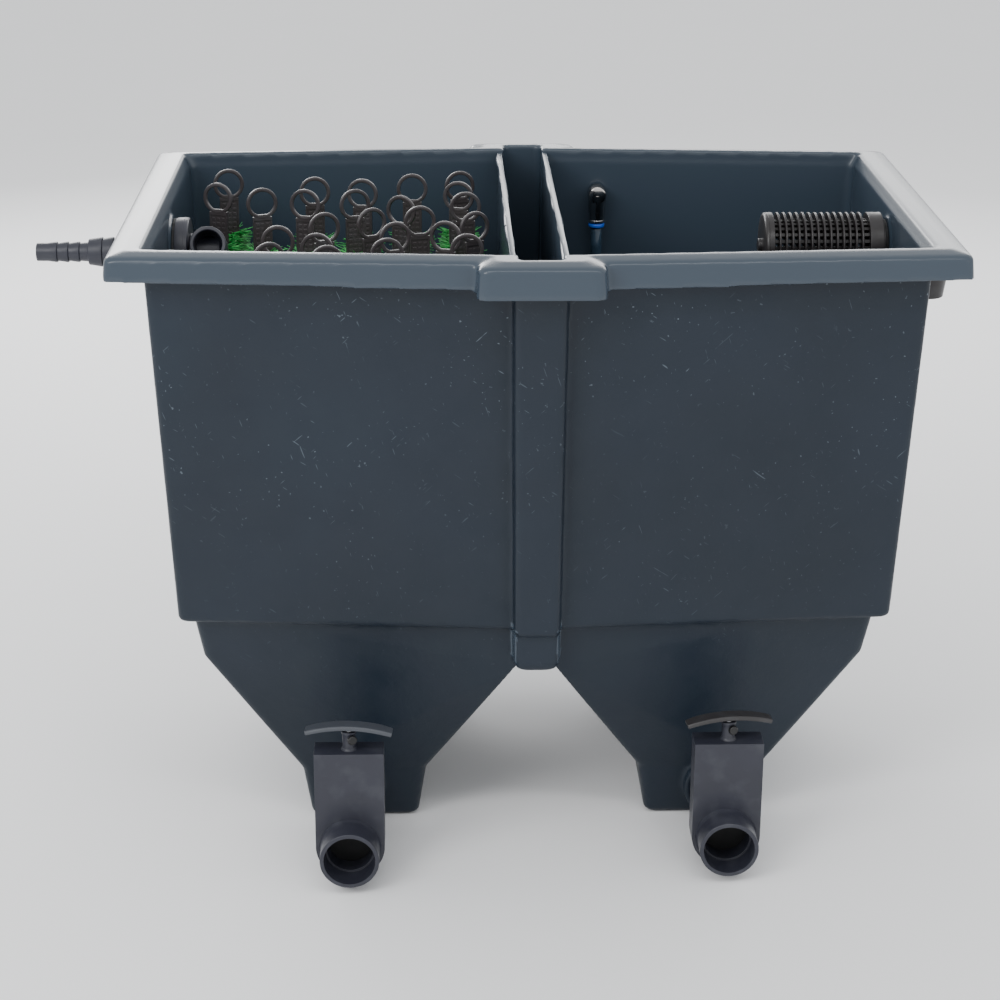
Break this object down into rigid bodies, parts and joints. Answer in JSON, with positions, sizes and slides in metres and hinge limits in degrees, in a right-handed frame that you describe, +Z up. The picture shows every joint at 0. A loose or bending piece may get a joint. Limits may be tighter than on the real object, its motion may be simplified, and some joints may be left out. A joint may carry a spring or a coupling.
{
  "type": "pond filter",
  "caption": "Two-bay gravity pond filter: twin-hopper tank with rim, transfer duct, lift-out brushes, finned strainer, air feed and slide-valve drains.",
  "frame": {"origin": "middle of the bounding box, on the floor the two sumps stand on", "axes": "+Z up, +X along the tank from the inlet to the outlet, +Y to the back, away from the slide valves"},
  "size_m": [1.1556, 0.744, 0.7695],
  "materials": {
    "gelcoat": "glossy glass-fibre gelcoat, rough laminate outside",
    "pvc": "satin moulded",
    "black": "satin moulded",
    "handle": "satin moulded",
    "handle_dark": "satin moulded",
    "brush": "loose bristles under a moulded ring handle",
    "nickel": "plated",
    "blue": "gloss",
    "tube": "clear tint",
    "steel": "drawn rod",
    "rubber": "matt",
    "stone": "sintered grains",
    "grid": "moulded"
  },
  "bodies": {
    "root": {"air_bulkhead": "nickel", "air_diffuser": "stone", "air_elbow": "nickel", "air_tube": "tube", "brush_grid": "grid", "inlet_connector": "pvc", "inlet_gasket": "rubber", "inlet_hose_tail": "black", "inlet_nut": "pvc", "left_divider": "gelcoat", "left_lock_screw": "black", "left_valve_body": "pvc", "left_valve_cap": "pvc", "left_valve_seal": "rubber", "left_waste_pipe": "pvc", "media_grid": "grid", "outlet_connector": "black", "outlet_elbow": "black", "outlet_gasket": "rubber", "outlet_nut": "black", "right_divider": "gelcoat", "right_lock_screw": "black", "right_valve_body": "pvc", "right_valve_cap": "pvc", "right_valve_seal": "rubber", "right_waste_pipe": "pvc", "tank_shell": "gelcoat"},
    "left_slide": {"left_gate": "pvc", "left_gate_stem": "steel", "left_gate_handle": "handle"},
    "right_slide": {"right_gate": "pvc", "right_gate_stem": "steel", "right_gate_handle": "handle_dark"},
    "strainer": {"outlet_strainer": "black"},
    "inlet_elbow": {"inlet_elbow": "pvc"},
    "air_collar": {"air_release_collar": "blue"},
    "brush_01": {"brush_01": "brush"},
    "brush_02": {"brush_02": "brush"},
    "brush_03": {"brush_03": "brush"},
    "brush_04": {"brush_04": "brush"},
    "brush_05": {"brush_05": "brush"},
    "brush_06": {"brush_06": "brush"},
    "brush_07": {"brush_07": "brush"},
    "brush_08": {"brush_08": "brush"},
    "brush_09": {"brush_09": "brush"},
    "brush_10": {"brush_10": "brush"},
    "brush_11": {"brush_11": "brush"},
    "brush_12": {"brush_12": "brush"},
    "brush_13": {"brush_13": "brush"},
    "brush_14": {"brush_14": "brush"},
    "brush_15": {"brush_15": "brush"},
    "brush_16": {"brush_16": "brush"},
    "brush_17": {"brush_17": "brush"},
    "brush_18": {"brush_18": "brush"},
    "brush_19": {"brush_19": "brush"},
    "brush_20": {"brush_20": "brush"},
    "brush_21": {"brush_21": "brush"},
    "brush_22": {"brush_22": "brush"},
    "brush_23": {"brush_23": "brush"},
    "brush_24": {"brush_24": "brush"}
  },
  "joints": [
    {"name": "left_gate_slide", "type": "slide", "parent": "root", "child": "left_slide", "axis": [0, 0, 1], "range_m": [0, 0.062]},
    {"name": "right_gate_slide", "type": "slide", "parent": "root", "child": "right_slide", "axis": [0, 0, 1], "range_m": [0, 0.062]},
    {"name": "strainer_pull", "type": "slide", "parent": "root", "child": "strainer", "axis": [-1, 0, 0], "range_m": [0, 0.05]},
    {"name": "inlet_elbow_turn", "type": "hinge", "parent": "root", "child": "inlet_elbow", "pos_m": [-0.35875, 0.015, 0.702], "axis": [1, 0, 0], "range_deg": [0, 115]},
    {"name": "air_collar_press", "type": "slide", "parent": "root", "child": "air_collar", "axis": [0, 0, 1], "range_m": [0, 0.0015], "stiffness_N_per_m": 600},
    {"name": "brush_01_lift", "type": "slide", "parent": "root", "child": "brush_01", "axis": [0, 0, 1], "range_m": [0, 0.47]},
    {"name": "brush_02_lift", "type": "slide", "parent": "root", "child": "brush_02", "axis": [0, 0, 1], "range_m": [0, 0.47]},
    {"name": "brush_03_lift", "type": "slide", "parent": "root", "child": "brush_03", "axis": [0, 0, 1], "range_m": [0, 0.47]},
    {"name": "brush_04_lift", "type": "slide", "parent": "root", "child": "brush_04", "axis": [0, 0, 1], "range_m": [0, 0.47]},
    {"name": "brush_05_lift", "type": "slide", "parent": "root", "child": "brush_05", "axis": [0, 0, 1], "range_m": [0, 0.47]},
    {"name": "brush_06_lift", "type": "slide", "parent": "root", "child": "brush_06", "axis": [0, 0, 1], "range_m": [0, 0.47]},
    {"name": "brush_07_lift", "type": "slide", "parent": "root", "child": "brush_07", "axis": [0, 0, 1], "range_m": [0, 0.47]},
    {"name": "brush_08_lift", "type": "slide", "parent": "root", "child": "brush_08", "axis": [0, 0, 1], "range_m": [0, 0.47]},
    {"name": "brush_09_lift", "type": "slide", "parent": "root", "child": "brush_09", "axis": [0, 0, 1], "range_m": [0, 0.47]},
    {"name": "brush_10_lift", "type": "slide", "parent": "root", "child": "brush_10", "axis": [0, 0, 1], "range_m": [0, 0.47]},
    {"name": "brush_11_lift", "type": "slide", "parent": "root", "child": "brush_11", "axis": [0, 0, 1], "range_m": [0, 0.47]},
    {"name": "brush_12_lift", "type": "slide", "parent": "root", "child": "brush_12", "axis": [0, 0, 1], "range_m": [0, 0.47]},
    {"name": "brush_13_lift", "type": "slide", "parent": "root", "child": "brush_13", "axis": [0, 0, 1], "range_m": [0, 0.47]},
    {"name": "brush_14_lift", "type": "slide", "parent": "root", "child": "brush_14", "axis": [0, 0, 1], "range_m": [0, 0.47]},
    {"name": "brush_15_lift", "type": "slide", "parent": "root", "child": "brush_15", "axis": [0, 0, 1], "range_m": [0, 0.47]},
    {"name": "brush_16_lift", "type": "slide", "parent": "root", "child": "brush_16", "axis": [0, 0, 1], "range_m": [0, 0.47]},
    {"name": "brush_17_lift", "type": "slide", "parent": "root", "child": "brush_17", "axis": [0, 0, 1], "range_m": [0, 0.47]},
    {"name": "brush_18_lift", "type": "slide", "parent": "root", "child": "brush_18", "axis": [0, 0, 1], "range_m": [0, 0.47]},
    {"name": "brush_19_lift", "type": "slide", "parent": "root", "child": "brush_19", "axis": [0, 0, 1], "range_m": [0, 0.47]},
    {"name": "brush_20_lift", "type": "slide", "parent": "root", "child": "brush_20", "axis": [0, 0, 1], "range_m": [0, 0.47]},
    {"name": "brush_21_lift", "type": "slide", "parent": "root", "child": "brush_21", "axis": [0, 0, 1], "range_m": [0, 0.47]},
    {"name": "brush_22_lift", "type": "slide", "parent": "root", "child": "brush_22", "axis": [0, 0, 1], "range_m": [0, 0.47]},
    {"name": "brush_23_lift", "type": "slide", "parent": "root", "child": "brush_23", "axis": [0, 0, 1], "range_m": [0, 0.47]},
    {"name": "brush_24_lift", "type": "slide", "parent": "root", "child": "brush_24", "axis": [0, 0, 1], "range_m": [0, 0.47]}
  ]
}
